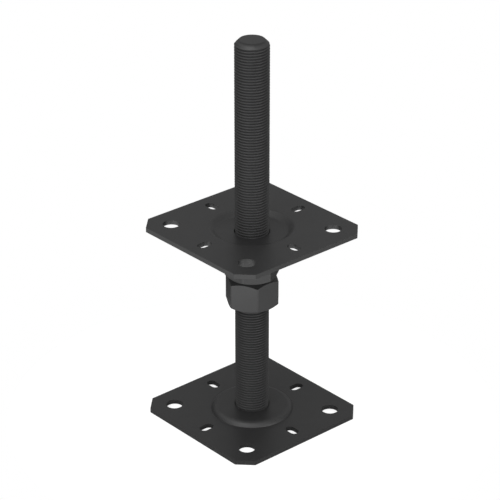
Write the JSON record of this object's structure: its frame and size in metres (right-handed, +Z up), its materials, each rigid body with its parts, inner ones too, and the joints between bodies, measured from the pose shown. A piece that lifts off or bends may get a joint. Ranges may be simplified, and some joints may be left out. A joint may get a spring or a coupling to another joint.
{
  "type": "adjustable post base",
  "caption": "Height-adjustable steel post base: pressed square plates on a threaded rod, the upper one carried by an adjusting nut and a lock nut.",
  "frame": {"origin": "on the ground, at the centre of the base plate's underside, on the rod's axis", "axes": "+Z up along the rod, +X and +Y across the sides of the square plates"},
  "size_m": [0.1128, 0.1128, 0.2847],
  "materials": {
    "coated_plate": "fine matt black powder coat on steel",
    "coated_rod": "fine matt black coat on a threaded steel rod",
    "coated_nut": "fine matt black coat on steel nuts"
  },
  "bodies": {
    "foot": {"base_plate": "coated_plate", "threaded_rod": "coated_rod", "rod_weld": "coated_plate"},
    "head": {"post_plate": "coated_plate"},
    "adjuster": {"adjusting_nut": "coated_nut"},
    "locker": {"lock_nut": "coated_nut"}
  },
  "joints": [
    {"name": "plate_height", "type": "slide", "parent": "foot", "child": "head", "axis": [0, 0, 1], "range_m": [-0.06, 0.11]},
    {"name": "adjuster_turn", "type": "hinge", "parent": "head", "child": "adjuster", "pos_m": [0, 0, 0.1254], "axis": [0, 0, 1], "range_deg": [-10800, 19800]},
    {"name": "lock_nut_slack", "type": "slide", "parent": "adjuster", "child": "locker", "axis": [0, 0, 1], "range_m": [-0.02, 0]}
  ],
  "couplings": [
    {"joint": "plate_height", "follows": "adjuster_turn", "m_per_rad": 0.00031831}
  ]
}
